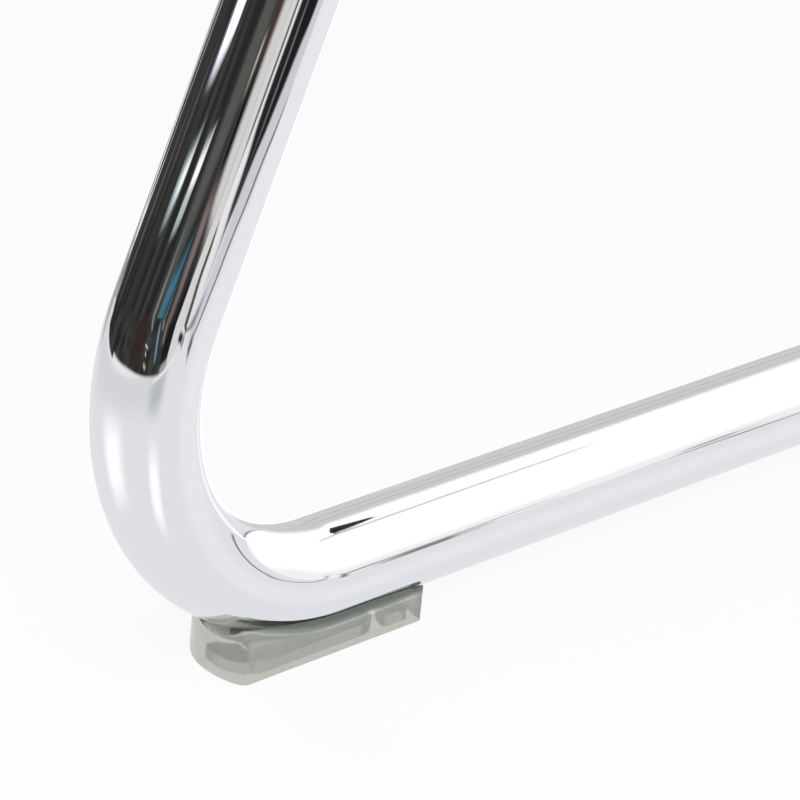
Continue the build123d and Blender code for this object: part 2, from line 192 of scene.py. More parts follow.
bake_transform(main_tube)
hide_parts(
    "floor_loop", "left_front_bend", "right_front_bend", "left_upright_arm", "right_upright_arm"
)

# Back hoop: seat rails, back posts and top bar bent from a second length of the same chromed tube.
# Its front ends are coped to the uprights and welded, and the arms are welded to its posts.
TILT = math.radians(3)
BACK_LEAN = math.radians(12)
RAIL = Vector((0, math.cos(TILT), -math.sin(TILT)))
SEAT_UP = Vector((0, math.sin(TILT), math.cos(TILT)))
POST = Vector((0, math.sin(BACK_LEAN), math.cos(BACK_LEAN)))
BACK_OUT = Vector((0, -math.cos(BACK_LEAN), math.sin(BACK_LEAN)))
RAIL_JOINT = Vector((0, -0.173241, 0.386302))
RAIL_CORNER = Vector((0, 0.187061, 0.367419))
HOOP_TOP = Vector((0, 0.285114, 0.828722))
RAIL_STOP = 0.003
RAIL_TURN = math.pi / 2 - BACK_LEAN + TILT
trim = BEND_R * math.tan(RAIL_TURN / 2)
rail_end = RAIL_CORNER - trim * RAIL
post_foot = RAIL_CORNER + trim * POST
post_head = HOOP_TOP - BEND_R * POST
rail_bend = rail_end + BEND_R * SEAT_UP
bm = bmesh.new()
rail_start = RAIL_JOINT + RAIL_STOP * RAIL
ring = open_ring(bm, side(rail_start, 1), RAIL, TUBE_R)
bmesh.ops.contextual_create(bm, geom=ring)
ring = straight(bm, ring, rail_end - rail_start)
ring = bent(bm, ring, side(rail_bend, 1), X, RAIL_TURN)
ring = straight(bm, ring, post_head - post_foot)
ring = bent(bm, ring, side(post_head, 1) - BEND_R * X, BACK_OUT, math.pi / 2)
ring = straight(bm, ring, -2 * (SIDE_X - BEND_R) * X)
ring = bent(bm, ring, side(post_head, -1) + BEND_R * X, BACK_OUT, math.pi / 2)
ring = straight(bm, ring, post_foot - post_head)
ring = bent(bm, ring, side(rail_bend, -1), X, -RAIL_TURN)
ring = straight(bm, ring, rail_start - rail_end)
bmesh.ops.contextual_create(bm, geom=ring)
hoop_tube = smooth_piece("hoop_tube", bm)
fitted(hoop_tube, chrome)
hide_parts("back_hoop")

# Cross tubes: three straight 20 mm tubes, coped and welded between the rails and between the posts.
# The pads are screwed through them. Chromed with the rest of the frame.
CROSS_R = 0.010
CROSS_END_X = SIDE_X - 0.004
SEAT_ORIGIN = Vector((0, -0.053, 0.380))
BACK_OVER_ARM = 0.042
BACK_ORIGIN = Vector((0, POST_Y + BACK_OVER_ARM * math.tan(BACK_LEAN), ARM_Z + BACK_OVER_ARM))
CROSS_TUBES = {
    "seat_front_cross_tube": SEAT_ORIGIN - 0.075406 * RAIL,
    "seat_rear_cross_tube": SEAT_ORIGIN + 0.170854 * RAIL,
    "back_lower_cross_tube": BACK_ORIGIN - 0.110938 * POST,
}
for name, centre in CROSS_TUBES.items():
    bm = bmesh.new()
    ring = open_ring(bm, centre + CROSS_END_X * X, -X, CROSS_R, 48)
    bmesh.ops.contextual_create(bm, geom=ring)
    ring = straight(bm, ring, -2 * CROSS_END_X * X)
    bmesh.ops.contextual_create(bm, geom=ring)
    tube = smooth_piece(name.replace("cross_tube", "cross_bar"), bm)
    fitted(tube, chrome)
    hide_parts(name)

# Weld beads: a narrow dressed fillet of weld round each coped tube end, plated over with the frame.
# Each bead follows the line in which the two round tubes meet.
BEAD_R = 0.0016
BEAD_POINTS = 72


def weld(name, corner, branch, trunk, branch_r):
    """A bead round a branch tube where it meets a trunk tube of the main size."""
    across = branch.cross(trunk).normalized()
    upward = across.cross(branch)
    curve = bpy.data.curves.new(name, "CURVE")
    curve.dimensions = "3D"
    curve.bevel_depth = BEAD_R
    curve.bevel_resolution = 3
    spline = curve.splines.new("POLY")
    spline.points.add(BEAD_POINTS - 1)
    spline.use_cyclic_u = True
    run = branch - branch.dot(trunk) * trunk
    for i in range(BEAD_POINTS):
        angle = 2 * math.pi * i / BEAD_POINTS
        off = branch_r * (math.cos(angle) * across + math.sin(angle) * upward)
        flat = off - off.dot(trunk) * trunk
        a, b, c = run.dot(run), 2 * flat.dot(run), flat.dot(flat) - TUBE_R ** 2
        far = (-b + math.sqrt(max(b * b - 4 * a * c, 0.0))) / (2 * a)
        spline.points[i].co = (*(corner + off + far * branch), 1)
    loop = bpy.data.objects.new(name, curve)
    mesh = bpy.data.meshes.new_from_object(loop)
    bpy.data.objects.remove(loop)
    bead = bpy.data.objects.new(name, mesh)
    scene.collection.objects.link(bead)
    mesh.shade_smooth()
    fitted(bead, chrome)


for label, sign in (("left", 1), ("right", -1)):
    weld(f"{label}_arm_weld", Vector((sign * SIDE_X, POST_Y, ARM_Z)), -Y, POST, TUBE_R)
    weld(f"{label}_rail_weld", side(RAIL_JOINT, sign), RAIL, UPRIGHT, TUBE_R)
    for name, centre in CROSS_TUBES.items():
        trunk = POST if name.startswith("back") else RAIL
        weld(f"{label}_{name}_weld", centre + sign * SIDE_X * X, -sign * X, trunk, CROSS_R)

# Glides: clear moulded blocks pegged under the runners, with a saddle that cups the tube.
# The front pair lift with the start of the bend and are rounded at the nose.
glide_clear, tree, out = bare_material("clear_polycarbonate")
place = node(tree, "ShaderNodeTexCoord").outputs["Object"]
flow = node(
    tree, "ShaderNodeTexNoise", sockets={"Vector": place, "Scale": 45.0, "Detail": 2.0}
).outputs["Fac"]
skin = node(
    tree, "ShaderNodeMapRange", sockets={"Value": flow, "To Min": 0.10, "To Max": 0.18}
).outputs["Result"]
# Painted shade: the walls are painted dark where they close up to the tube, by their distance from its middle
# line. That line is straight behind the start of the bend and round ahead of it. A painted highlight, a pale
# line, runs along the edge of the painted shade.
SHADE_REACH = 0.01455
SHADE_FADE = 0.0011
EDGE_LINE = 0.0002
FAR = 9.0
from_bend = node(
    tree, "ShaderNodeVectorMath", settings={"operation": "SUBTRACT"}, sockets={0: place, 1: FRONT_BEND}
).outputs["Vector"]
ahead_of_bend = node(
    tree, "ShaderNodeVectorMath", settings={"operation": "MINIMUM"}, sockets={0: from_bend, 1: (FAR, 0, FAR)}
).outputs["Vector"]
upright_part = node(
    tree, "ShaderNodeVectorMath", settings={"operation": "MULTIPLY"}, sockets={0: ahead_of_bend, 1: (0, 1, 1)}
).outputs["Vector"]
reach = node(
    tree, "ShaderNodeVectorMath", settings={"operation": "LENGTH"}, sockets={0: upright_part}
).outputs["Value"]
down = node(
    tree, "ShaderNodeMath", settings={"operation": "SUBTRACT"}, sockets={0: reach, 1: BEND_R}
).outputs["Value"]
across = node(tree, "ShaderNodeSeparateXYZ", sockets={"Vector": place}).outputs["X"]
outward = node(
    tree, "ShaderNodeMath", settings={"operation": "ABSOLUTE"}, sockets={0: across}
).outputs["Value"]
aside = node(
    tree, "ShaderNodeMath", settings={"operation": "SUBTRACT"}, sockets={0: outward, 1: SIDE_X}
).outputs["Value"]
section = node(tree, "ShaderNodeCombineXYZ", sockets={"X": aside, "Y": down}).outputs["Vector"]
off_axis = node(
    tree, "ShaderNodeVectorMath", settings={"operation": "LENGTH"}, sockets={0: section}
).outputs["Value"]
openness = node(
    tree, "ShaderNodeMapRange",
    sockets={"Value": off_axis, "From Min": SHADE_REACH - SHADE_FADE, "From Max": SHADE_REACH},
).outputs["Result"]
# painted shade: the walls' colour is darkened near the tube to stand in for the shade there
painted_shade = node(
    tree, "ShaderNodeMix", settings={"data_type": "RGBA"},
    sockets={0: openness, 6: linear("#646A64"), 7: linear("#BBBFB5")},
).outputs[2]
past_edge = node(
    tree, "ShaderNodeMath", settings={"operation": "SUBTRACT"},
    sockets={0: off_axis, 1: SHADE_REACH + EDGE_LINE},
).outputs["Value"]
from_edge = node(
    tree, "ShaderNodeMath", settings={"operation": "ABSOLUTE"}, sockets={0: past_edge}
).outputs["Value"]
# painted highlight: a pale line painted along the edge of the painted shade
painted_edge_highlight = node(
    tree, "ShaderNodeMapRange",
    sockets={
        "Value": from_edge, "From Min": 1.5 * EDGE_LINE, "From Max": 0.5 * EDGE_LINE,
        "To Min": 0.0, "To Max": 0.6,
    },
).outputs["Result"]
# the walls' colour, with the painted shade and the painted highlight in it
body = node(
    tree, "ShaderNodeMix", settings={"data_type": "RGBA"},
    sockets={0: painted_edge_highlight, 6: painted_shade, 7: linear("#E6E8E2")},
).outputs[2]
shader = node(
    tree, "ShaderNodeBsdfPrincipled",
    sockets={
        "Base Color": body, "Roughness": skin, "IOR": 1.58, "Transmission Weight": 0.52,
    },
)
tree.links.new(shader.outputs["BSDF"], out.inputs["Surface"])


def dressed_copy(name, part, edge, angle):
    """A CAD piece's own shape with its triangles merged and its edges eased."""
    bm = bmesh.new()
    bm.from_mesh(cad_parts[part].data)
    bmesh.ops.remove_doubles(bm, verts=bm.verts[:], dist=1e-6)
    bmesh.ops.dissolve_limit(
        bm, angle_limit=math.radians(0.5), use_dissolve_boundaries=False, verts=bm.verts[:], edges=bm.edges[:]
    )
    made = smooth_piece(name, bm)
    made.data.set_sharp_from_angle(angle=math.radians(angle))
    if edge:
        ease = made.modifiers.new("eased_edges", "BEVEL")
        ease.width = edge
        ease.segments = 3
        ease.limit_method = "ANGLE"
        ease.angle_limit = math.radians(angle)
        ease.harden_normals = True
    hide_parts(part)
    return made


for label in ("left", "right"):
    for end in ("front", "rear"):
        glide = dressed_copy(f"{label}_{end}_foot", f"{label}_{end}_glide", 0.0004, 32)
        fitted(glide, glide_clear, "floor_frame")

# Seat pan and back shell: shallow trays moulded in black polypropylene that close the pads from outside.
# They take the boards on bosses; saddle spacers of the same plastic seat them on the round tubes.
moulded, tree, out = bare_material("moulded_polypropylene")
place = node(tree, "ShaderNodeTexCoord").outputs["Object"]
# Spark-eroded grain is about 0.3 mm; drawn at 1.2 mm so that it shows.
grain = node(
    tree, "ShaderNodeTexNoise", sockets={"Vector": place, "Scale": 850.0, "Detail": 3.0}
).outputs["Fac"]
relief = node(
    tree, "ShaderNodeBump", sockets={"Strength": 0.25, "Distance": 0.0004, "Height": grain}
).outputs["Normal"]
clouds = node(
    tree, "ShaderNodeTexNoise", sockets={"Vector": place, "Scale": 14.0, "Detail": 3.0}
).outputs["Fac"]
rubbed = node(
    tree, "ShaderNodeMapRange", sockets={"Value": clouds, "To Min": 0.42, "To Max": 0.56}
).outputs["Result"]
tone = node(
    tree, "ShaderNodeMix", settings={"data_type": "RGBA"},
    sockets={0: clouds, 6: linear("#191A1C"), 7: linear("#222326")},
).outputs[2]
shader = node(
    tree, "ShaderNodeBsdfPrincipled",
    sockets={"Base Color": tone, "Roughness": rubbed, "IOR": 1.49, "Normal": relief},
)
tree.links.new(shader.outputs["BSDF"], out.inputs["Surface"])
for part, name, edge in (
    ("seat_pan", "seat_tray", 0.0006), ("back_shell", "back_tray", 0.0006),
    ("seat_spacers", "seat_saddles", 0.0008), ("back_spacers", "back_saddles", 0.0008),
):
    tray = dressed_copy(name, part, edge, 30)
    fitted(tray, moulded)

# Boards: birch plywood cut to the pads' outline, hidden between tray and foam.
# Raw veneer, with the grain running from front to back.
plywood, tree, out = bare_material("birch_plywood")
place = node(tree, "ShaderNodeTexCoord").outputs["Object"]
along = node(
    tree, "ShaderNodeMapping", sockets={"Vector": place, "Scale": (1.0, 0.06, 1.0)}
).outputs["Vector"]
veneer = node(
    tree, "ShaderNodeTexNoise", sockets={"Vector": along, "Scale": 90.0, "Detail": 6.0}
).outputs["Fac"]
birch = node(
    tree, "ShaderNodeMix", settings={"data_type": "RGBA"},
    sockets={0: veneer, 6: linear("#C9A878"), 7: linear("#A9835A")},
).outputs[2]
shader = node(tree, "ShaderNodeBsdfPrincipled", sockets={"Base Color": birch, "Roughness": 0.65, "IOR": 1.5})
tree.links.new(shader.outputs["BSDF"], out.inputs["Surface"])
for part in ("seat_board", "back_board"):
    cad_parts[part].data.materials.clear()
    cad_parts[part].data.materials.append(plywood)

# Fasteners: zinc plated socket screws and tee nuts that clamp the pads and the arm pads to the tubes.
# Turned steel under a thin bright plating with a faint bluish cast.
zinc, tree, out = bare_material("bright_zinc")
place = node(tree, "ShaderNodeTexCoord").outputs["Object"]
spangle = node(
    tree, "ShaderNodeTexNoise", sockets={"Vector": place, "Scale": 600.0, "Detail": 3.0}
).outputs["Fac"]
dull = node(
    tree, "ShaderNodeMapRange", sockets={"Value": spangle, "To Min": 0.22, "To Max": 0.40}
).outputs["Result"]
shader = node(
    tree, "ShaderNodeBsdfPrincipled",
    sockets={"Base Color": linear("#C4C8CE"), "Metallic": 1.0, "Roughness": dull},
)
tree.links.new(shader.outputs["BSDF"], out.inputs["Surface"])
for part, name in (
    ("seat_screws", "seat_bolts"), ("back_screws", "back_bolts"), ("arm_pad_screws", "arm_pad_bolts"),
    ("seat_tee_nuts", "seat_nuts"), ("back_tee_nuts", "back_nuts"),
):
    screws = dressed_copy(name, part, 0.0003, 35)
    fitted(screws, zinc)

# Seat and back cushions: moulded foam on the boards under a tight sewn cover of flat woven charcoal cloth.
# The top panel is joined to the side band by a corded welt; the hem is drawn round the board inside the tray.
woven, tree, out = bare_material("flat_woven_wool")
place = node(tree, "ShaderNodeTexCoord")
spot = node(tree, "ShaderNodeSeparateXYZ", sockets={"Vector": place.outputs["Object"]}).outputs
face = node(tree, "ShaderNodeSeparateXYZ", sockets={"Vector": place.outputs["Normal"]}).outputs
# Real yarns lie 1 mm apart; they are drawn 2.4 mm apart so that the weave shows at chair distance.
YARN = 2 * math.pi / 0.0048
thread = {}
for axis in "XYZ":
    scaled = node(
        tree, "ShaderNodeMath", settings={"operation": "MULTIPLY"}, sockets={0: spot[axis], 1: YARN}
    ).outputs["Value"]
    thread[axis] = node(
        tree, "ShaderNodeMath", settings={"operation": "SINE"}, sockets={0: scaled}
    ).outputs["Value"]
weave = None
for axis, pair in (("X", "YZ"), ("Y", "XZ"), ("Z", "XY")):
    crossing = node(
        tree, "ShaderNodeMath", settings={"operation": "MULTIPLY"},
        sockets={0: thread[pair[0]], 1: thread[pair[1]]},
    ).outputs["Value"]
    facing = node(
        tree, "ShaderNodeMath", settings={"operation": "MULTIPLY"}, sockets={0: face[axis], 1: face[axis]}
    ).outputs["Value"]
    share = node(
        tree, "ShaderNodeMath", settings={"operation": "MULTIPLY"}, sockets={0: crossing, 1: facing}
    ).outputs["Value"]
    weave = share if weave is None else node(
        tree, "ShaderNodeMath", settings={"operation": "ADD"}, sockets={0: weave, 1: share}
    ).outputs["Value"]
lifted = node(
    tree, "ShaderNodeMapRange", sockets={"Value": weave, "From Min": -1.0, "From Max": 1.0}
).outputs["Result"]
slub = node(
    tree, "ShaderNodeTexNoise", sockets={"Vector": place.outputs["Object"], "Scale": 420.0, "Detail": 3.0}
).outputs["Fac"]
patchy = node(
    tree, "ShaderNodeTexNoise", sockets={"Vector": place.outputs["Object"], "Scale": 9.0, "Detail": 2.0}
).outputs["Fac"]
yarn_tone = node(
    tree, "ShaderNodeMix", settings={"data_type": "RGBA"},
    sockets={0: lifted, 6: linear("#1A1C1F"), 7: linear("#35383D")},
).outputs[2]
fleck = node(
    tree, "ShaderNodeMapRange",
    sockets={"Value": slub, "From Min": 0.42, "From Max": 0.66, "To Min": 0.0, "To Max": 0.5},
).outputs["Result"]
heather = node(
    tree, "ShaderNodeMix", settings={"data_type": "RGBA"},
    sockets={0: fleck, 6: yarn_tone, 7: linear("#4A4E55")},
).outputs[2]
worn = node(
    tree, "ShaderNodeMapRange", sockets={"Value": patchy, "To Min": 0.85, "To Max": 1.12}
).outputs["Result"]
cloth_tone = node(
    tree, "ShaderNodeMix", settings={"data_type": "RGBA", "blend_type": "MULTIPLY"},
    sockets={0: 1.0, 6: heather, 7: worn},
).outputs[2]
height = node(
    tree, "ShaderNodeMath", settings={"operation": "ADD"}, sockets={0: lifted, 1: slub}
).outputs["Value"]
raised = node(
    tree, "ShaderNodeBump", sockets={"Strength": 0.45, "Distance": 0.0006, "Height": height}
).outputs["Normal"]
shader = node(
    tree, "ShaderNodeBsdfPrincipled",
    sockets={
        "Base Color": cloth_tone, "Roughness": 0.92, "IOR": 1.45, "Normal": raised,
        "Sheen Weight": 0.08, "Sheen Roughness": 0.45,
    },
)
tree.links.new(shader.outputs["BSDF"], out.inputs["Surface"])

TRAY_FLOOR_TO_BOARD = 0.006
TRAY_LIP = 0.002
WELT_R = 0.0024
WELT_PROUD = 0.0013
COVER_WALL = 0.0016
HELD_RIM = 0.012
CROWN_SHARE = 0.45
HEM_ABOVE = 0.0024
HEM_BELOW = 0.0015
HEM_TURN_IN = 0.965
MESH_STEP = 0.0055


def stuffed(name, foam, cover, board_node, pad, board, crown, swell, welt_at):
    """A cushion swollen from the foam's own shape by air pressure in cloth, held at the board and tray.
    Pad takes the cushion's own plane (x across, y along, z up from the tray's outside) into the chair."""
    inward = pad.inverted()
    bm = bmesh.new()
    bm.from_mesh(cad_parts[foam].data)
    bmesh.ops.remove_doubles(bm, verts=bm.verts[:], dist=1e-6)
    bmesh.ops.transform(bm, matrix=inward, verts=bm.verts[:])
    raw = smooth_piece(name + "_raw", bm)
    even = raw.modifiers.new("even", "REMESH")
    even.mode = "VOXEL"
    even.voxel_size = MESH_STEP
    depsgraph = bpy.context.evaluated_depsgraph_get()
    mesh = bpy.data.meshes.new_from_object(raw.evaluated_get(depsgraph))
    bpy.data.objects.remove(raw)
    cushion = bpy.data.objects.new(name, mesh)
    scene.collection.objects.link(cushion)
    seat_level = TRAY_FLOOR_TO_BOARD + board
    rim_level = seat_level + TRAY_LIP
    for vert, out_of in [(vert, vert.normal.copy()) for vert in mesh.vertices]:
        if vert.co.z > seat_level + 0.001:
            vert.co += COVER_WALL * out_of
    start = [vert.co.copy() for vert in mesh.vertices]
    cloth = cushion.modifiers.new("swelling", "CLOTH")
    cloth.settings.use_pressure = True
    cloth.settings.uniform_pressure_force = 4.0
    cloth.settings.effector_weights.gravity = 0.0
    cloth.settings.quality = 4
    cloth.settings.mass = 0.3
    cloth.settings.tension_stiffness = 20.0
    cloth.settings.compression_stiffness = 20.0
    cloth.settings.bending_stiffness = 2.0
    for number in range(1, 21):
        scene.frame_set(number)
    depsgraph = bpy.context.evaluated_depsgraph_get()
    swollen = cushion.evaluated_get(depsgraph).to_mesh()
    ended = [vert.co.copy() for vert in swollen.vertices]
    cushion.evaluated_get(depsgraph).to_mesh_clear()
    cushion.modifiers.remove(cloth)
    scene.frame_set(1)
    loose = [min(max((first.z - rim_level) / HELD_RIM, 0.0), 1.0) for first in start]
    for vert, first, last, free in zip(mesh.vertices, start, ended, loose):
        move = last - first
        limit = swell * free + 0.0008
        if move.length > limit:
            move *= limit / move.length
        vert.co = first + move
        vert.co.z = max(vert.co.z, seat_level + 0.0002)
    # The pad keeps its swollen form, eased back to the size that its foam and cover were cut to, and is
    # fullest in the middle.
    middle, half = Vector((0, 0, rim_level)), Vector()
    for axis in range(3):
        cut = [first[axis] for first in start]
        full = [vert.co[axis] for vert in mesh.vertices]
        if axis < 2:
            middle[axis] = 0.5 * (max(cut) + min(cut))
        half[axis] = max(cut) - middle[axis]
        ease = half[axis] / (max(full) - middle[axis])
        for vert, free in zip(mesh.vertices, loose):
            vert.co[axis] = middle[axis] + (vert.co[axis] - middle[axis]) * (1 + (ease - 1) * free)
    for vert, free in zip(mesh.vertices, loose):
        inside = [1 - min(((vert.co[axis] - middle[axis]) / half[axis]) ** 2, 1) for axis in range(2)]
        vert.co.z += CROWN_SHARE * swell * free * inside[0] * inside[1]
    bm = bmesh.new()
    bm.from_mesh(mesh)
    above_rim = [vert for vert in bm.verts if vert.co.z > rim_level + 0.002]
    for _ in range(4):
        bmesh.ops.smooth_vert(
            bm, verts=above_rim, factor=0.5, use_axis_x=True, use_axis_y=True, use_axis_z=True
        )
    bm.to_mesh(mesh)
    bm.free()
    mesh.transform(pad)
    mesh.shade_smooth()
    finer = cushion.modifiers.new("rounded", "SUBSURF")
    finer.levels = 1
    finer.render_levels = 1
    fitted(cushion, woven)
    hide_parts(foam, cover)

    # The cover's lower edge is turned in over the board and goes down round it, inside the tray's rim.
    bm = bmesh.new()
    bm.from_mesh(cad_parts[board_node].data)
    bmesh.ops.remove_doubles(bm, verts=bm.verts[:], dist=1e-6)
    bmesh.ops.transform(bm, matrix=inward, verts=bm.verts[:])
    bm.normal_update()
    bmesh.ops.delete(bm, geom=[f for f in bm.faces if abs(f.normal.z) > 0.5], context="FACES_ONLY")
    edge_wall, fresh = set(), [max(bm.verts, key=lambda vert: vert.co.x)]
    while fresh:
        vert = fresh.pop()
        edge_wall.add(vert)
        fresh += [near for near in (e.other_vert(vert) for e in vert.link_edges) if near not in edge_wall]
    bmesh.ops.delete(bm, geom=[vert for vert in bm.verts if vert not in edge_wall], context="VERTS")
    board_middle = TRAY_FLOOR_TO_BOARD + 0.5 * board
    for vert in bm.verts:
        vert.co.z += HEM_ABOVE if vert.co.z > board_middle else -HEM_BELOW
    board_y = 0.5 * (max(vert.co.y for vert in bm.verts) + min(vert.co.y for vert in bm.verts))
    top_edges = [e for e in bm.edges if all(v.co.z > board_middle for v in e.verts)]
    bm.normal_update()
    bmesh.ops.solidify(bm, geom=bm.faces[:], thickness=-COVER_WALL)
    turned_in = bmesh.ops.extrude_edge_only(bm, edges=top_edges)["geom"]
    bmesh.ops.scale(
        bm, vec=(HEM_TURN_IN, HEM_TURN_IN, 1), space=Matrix.Translation((0, -board_y, 0)),
        verts=[g for g in turned_in if isinstance(g, bmesh.types.BMVert)],
    )
    bmesh.ops.transform(bm, matrix=pad, verts=bm.verts[:])
    hem = smooth_piece(name + "_hem", bm)
    hem.data.set_sharp_from_angle(angle=math.radians(40))
    fitted(hem, woven)

    # The welt lies on the seam between top panel and side band.
    bm = bmesh.new()
    bm.from_mesh(mesh)
    level = rim_level + welt_at * crown
    cut = bmesh.ops.bisect_plane(
        bm, geom=bm.verts[:] + bm.edges[:] + bm.faces[:], dist=1e-6,
        plane_co=pad @ Vector((0, 0, level)), plane_no=pad.to_3x3() @ Z,
    )["geom_cut"]
    edges = [g for g in cut if isinstance(g, bmesh.types.BMEdge)]
    around = {}
    for edge in edges:
        for vert in edge.verts:
            around.setdefault(vert, []).append(edge.other_vert(vert))
    here = next(iter(around))
    seam, last = [], None
    while True:
        seam.append(here.co.copy())
        onward = [v for v in around[here] if v is not last]
        last, here = here, onward[0]
        if len(seam) > 1 and here.co == seam[0] or len(seam) > len(around):
            break
    bm.free()
    for _ in range(6):
        seam = [
            0.25 * seam[i - 1] + 0.5 * seam[i] + 0.25 * seam[(i + 1) % len(seam)] for i in range(len(seam))
        ]
    heart = sum(seam, Vector()) / len(seam)
    seam = [co + WELT_PROUD * (co - heart).normalized() for co in seam]
    curve = bpy.data.curves.new(name + "_welt", "CURVE")
    curve.dimensions = "3D"
    curve.bevel_depth = WELT_R
    curve.bevel_resolution = 4
    spline = curve.splines.new("POLY")
    spline.points.add(len(seam) - 1)
    spline.use_cyclic_u = True
    for point, co in zip(spline.points, seam):
        point.co = (*co, 1)
    loop = bpy.data.objects.new(name + "_welt_line", curve)
    cord = bpy.data.meshes.new_from_object(loop)
    bpy.data.objects.remove(loop)
    cord.shade_smooth()
    welt = bpy.data.objects.new(name + "_welt", cord)
    scene.collection.objects.link(welt)
    fitted(welt, woven)


def pad_frame(origin, along, up, rise):
    """The place of a pad: x across, y along it, z up from the outside of its tray."""
    return Matrix.Translation(origin + rise * up) @ Matrix((X, along, up)).transposed().to_4x4()


SEAT_PAD = pad_frame(SEAT_ORIGIN, RAIL, SEAT_UP, 0.013)
BACK_PAD = pad_frame(BACK_ORIGIN, POST, BACK_OUT, 0.0155)
stuffed("seat_cushion", "seat_foam", "seat_cover", "seat_board", SEAT_PAD, 0.012, 0.048, 0.016, 0.74)
stuffed("back_cushion", "back_foam", "back_cover", "back_board", BACK_PAD, 0.010, 0.038, 0.013, 0.74)

# The tubes mirror white sheets where the seat would stand over them, so the seat and what holds it keep out
# of reflections.
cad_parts["seat_board"].visible_glossy = False
for name in (
    "seat_tray", "seat_cushion", "seat_cushion_hem", "seat_cushion_welt", "seat_saddles", "seat_bolts",
    "seat_nuts", "seat_front_cross_bar", "seat_rear_cross_bar",
):
    bpy.data.objects[name].visible_glossy = False

# Arm pads: moulded polyurethane grips with a skin like fine leather, grooved to sit over the arm tubes.
# Each is drawn down by two screws from below.
arm_skin, tree, out = bare_material("moulded_polyurethane")
place = node(tree, "ShaderNodeTexCoord").outputs["Object"]
# Leather grain cells of about 0.8 mm, drawn at 1.6 mm.
cells = node(tree, "ShaderNodeTexVoronoi", sockets={"Vector": place, "Scale": 620.0}).outputs["Distance"]
pores = node(
    tree, "ShaderNodeBump", sockets={"Strength": 0.3, "Distance": 0.0004, "Height": cells}
).outputs["Normal"]
smudge = node(
    tree, "ShaderNodeTexNoise", sockets={"Vector": place, "Scale": 26.0, "Detail": 4.0}
).outputs["Fac"]
sheen = node(
    tree, "ShaderNodeMapRange", sockets={"Value": smudge, "To Min": 0.38, "To Max": 0.58}
).outputs["Result"]
skin_tone = node(
    tree, "ShaderNodeMix", settings={"data_type": "RGBA"},
    sockets={0: smudge, 6: linear("#17181A"), 7: linear("#26272A")},
).outputs[2]
shader = node(
    tree, "ShaderNodeBsdfPrincipled",
    sockets={"Base Color": skin_tone, "Roughness": sheen, "IOR": 1.5, "Normal": pores},
)
tree.links.new(shader.outputs["BSDF"], out.inputs["Surface"])
for label in ("left", "right"):
    grip = dressed_copy(f"{label}_arm_grip", f"{label}_arm_pad", 0.0012, 40)
    fitted(grip, arm_skin)

# Floor and room: a seamless white floor for the eye. What shines sees the studio round it instead: a pale
# sweep below, white sheets behind and to the right, and a dim room in front with a window and two lamps.
floor_mesh = bpy.data.meshes.new("studio_floor")
bm = bmesh.new()
bmesh.ops.create_grid(bm, x_segments=1, y_segments=1, size=30.0)
bm.to_mesh(floor_mesh)
bm.free()
floor = bpy.data.objects.new("studio_floor", floor_mesh)
floor.visible_glossy = False
scene.collection.objects.link(floor)
floor_white, tree, out = bare_material("studio_floor_white")
path = node(tree, "ShaderNodeLightPath")
matt = node(tree, "ShaderNodeBsdfDiffuse", sockets={"Color": linear("#F2F2F2")}).outputs["BSDF"]
glow = node(tree, "ShaderNodeEmission", sockets={"Color": (1, 1, 1, 1), "Strength": 1.0}).outputs["Emission"]
looked_at = node(
    tree, "ShaderNodeMath", settings={"operation": "MAXIMUM"},
    sockets={0: path.outputs["Is Camera Ray"], 1: path.outputs["Is Transmission Ray"]},
).outputs["Value"]
seen = node(
    tree, "ShaderNodeMath", settings={"operation": "MULTIPLY"}, sockets={0: looked_at, 1: 0.89}
).outputs["Value"]
mixed = node(tree, "ShaderNodeMixShader", sockets={0: seen, 1: matt, 2: glow}).outputs["Shader"]
tree.links.new(mixed, out.inputs["Surface"])
floor_mesh.materials.append(floor_white)

world = bpy.data.worlds.new("studio")
world.use_nodes = True
scene.world = world
tree = world.node_tree
tree.nodes.clear()
out = node(tree, "ShaderNodeOutputWorld")
path = node(tree, "ShaderNodeLightPath")
way = node(tree, "ShaderNodeTexCoord").outputs["Generated"]
axes = node(tree, "ShaderNodeSeparateXYZ", sockets={"Vector": way}).outputs
to_front = node(
    tree, "ShaderNodeMath", settings={"operation": "MULTIPLY"}, sockets={0: axes["Y"], 1: -1.0}
).outputs["Value"]
turned = node(
    tree, "ShaderNodeMath", settings={"operation": "ARCTAN2"}, sockets={0: axes["X"], 1: to_front}
).outputs["Value"]
heading = node(
    tree, "ShaderNodeMath", settings={"operation": "DEGREES"}, sockets={0: turned}
).outputs["Value"]
tipped = node(
    tree, "ShaderNodeMath", settings={"operation": "ARCSINE"}, sockets={0: axes["Z"]}
).outputs["Value"]
rise = node(tree, "ShaderNodeMath", settings={"operation": "DEGREES"}, sockets={0: tipped}).outputs["Value"]


